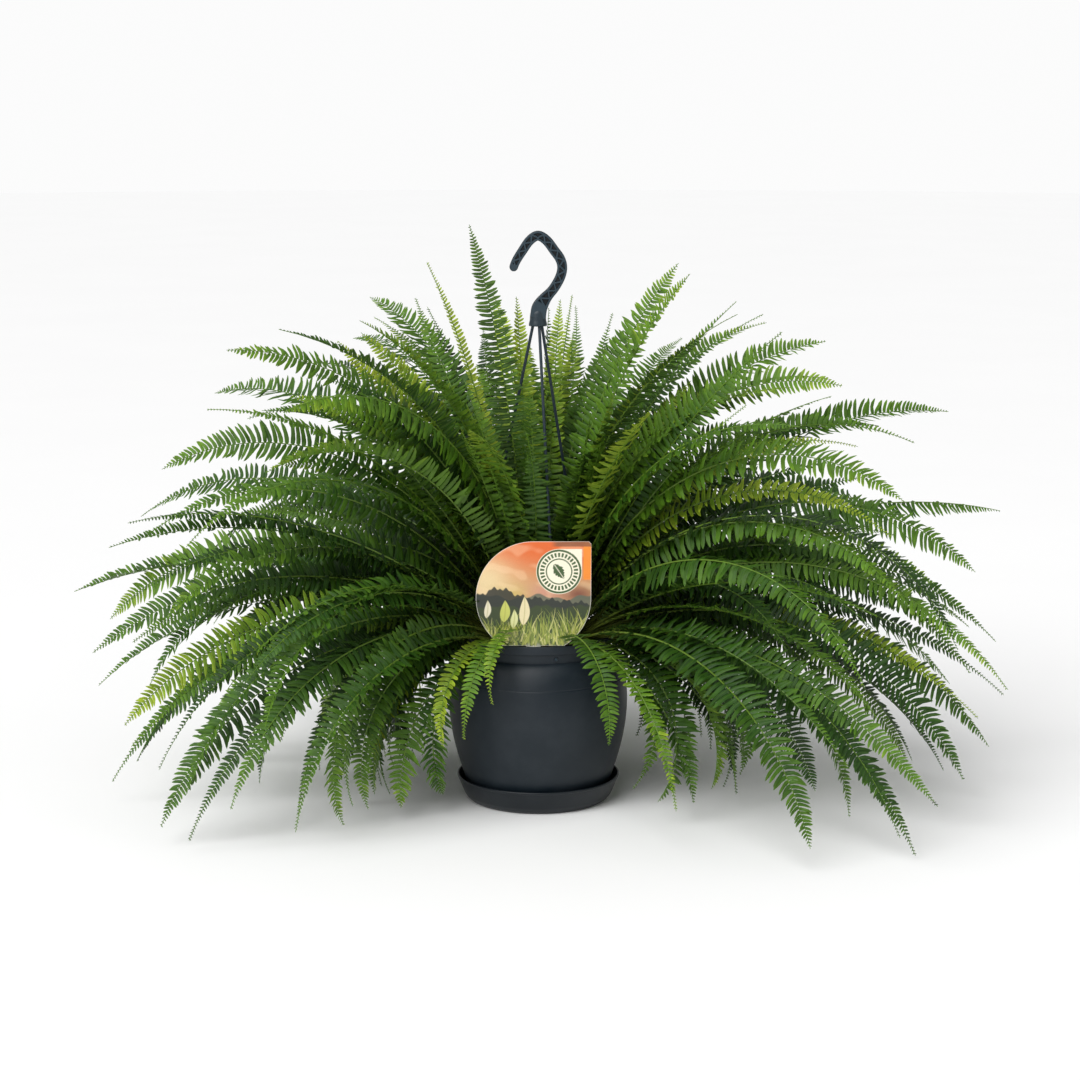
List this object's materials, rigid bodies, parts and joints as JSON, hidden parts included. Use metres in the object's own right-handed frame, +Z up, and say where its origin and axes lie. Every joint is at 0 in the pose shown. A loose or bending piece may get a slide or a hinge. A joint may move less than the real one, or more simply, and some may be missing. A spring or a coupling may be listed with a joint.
{
  "type": "potted fern",
  "caption": "Boston fern in a round plastic hanging pot with a clip-on saucer, a hooked hanger and a printed label; hangs by its hook.",
  "frame": {"origin": "the highest point of the inner edge of the hook's crook, on the pot's axis, where the hook sits on what holds it", "axes": "+Z up along the pot's axis; +X to the right, along the plant's longest spread, for someone who faces the label; -Y towards that person, the label's side"},
  "size_m": [0.9501, 0.6982, 0.5796],
  "materials": {
    "anthracite_plastic": "satin-matte, fine moulded grain",
    "anthracite_plastic_satin": "satin",
    "charcoal_plastic": "satin",
    "potting_soil": "moist, crumbly",
    "rootstock": "rough, fibrous",
    "printed_label": "printed, semi-gloss",
    "fern_leaf": "leathery, slightly glossy leaf"
  },
  "bodies": {
    "root": {"frond_01": "fern_leaf", "frond_02": "fern_leaf", "frond_03": "fern_leaf", "frond_04": "fern_leaf", "frond_05": "fern_leaf", "frond_06": "fern_leaf", "frond_07": "fern_leaf", "frond_08": "fern_leaf", "frond_09": "fern_leaf", "frond_10": "fern_leaf", "frond_11": "fern_leaf", "frond_12": "fern_leaf", "frond_13": "fern_leaf", "frond_14": "fern_leaf", "frond_15": "fern_leaf", "frond_16": "fern_leaf", "frond_17": "fern_leaf", "frond_18": "fern_leaf", "frond_19": "fern_leaf", "frond_20": "fern_leaf", "frond_21": "fern_leaf", "frond_22": "fern_leaf", "frond_23": "fern_leaf", "frond_24": "fern_leaf", "frond_25": "fern_leaf", "frond_26": "fern_leaf", "frond_27": "fern_leaf", "frond_28": "fern_leaf", "frond_29": "fern_leaf", "frond_30": "fern_leaf", "frond_31": "fern_leaf", "frond_32": "fern_leaf", "frond_33": "fern_leaf", "frond_34": "fern_leaf", "frond_35": "fern_leaf", "frond_36": "fern_leaf", "frond_37": "fern_leaf", "frond_38": "fern_leaf", "frond_39": "fern_leaf", "frond_40": "fern_leaf", "frond_41": "fern_leaf", "frond_42": "fern_leaf", "frond_43": "fern_leaf", "frond_44": "fern_leaf", "frond_45": "fern_leaf", "frond_46": "fern_leaf", "frond_47": "fern_leaf", "frond_48": "fern_leaf", "frond_49": "fern_leaf", "frond_50": "fern_leaf", "frond_51": "fern_leaf", "hanger_arm_1": "charcoal_plastic", "hanger_arm_2": "charcoal_plastic", "hanger_arm_3": "charcoal_plastic", "hook": "charcoal_plastic", "plant_label": "printed_label", "pot": "anthracite_plastic", "potting_soil": "potting_soil", "rootstock": "rootstock", "saucer": "anthracite_plastic_satin"}
  },
  "joints": []
}
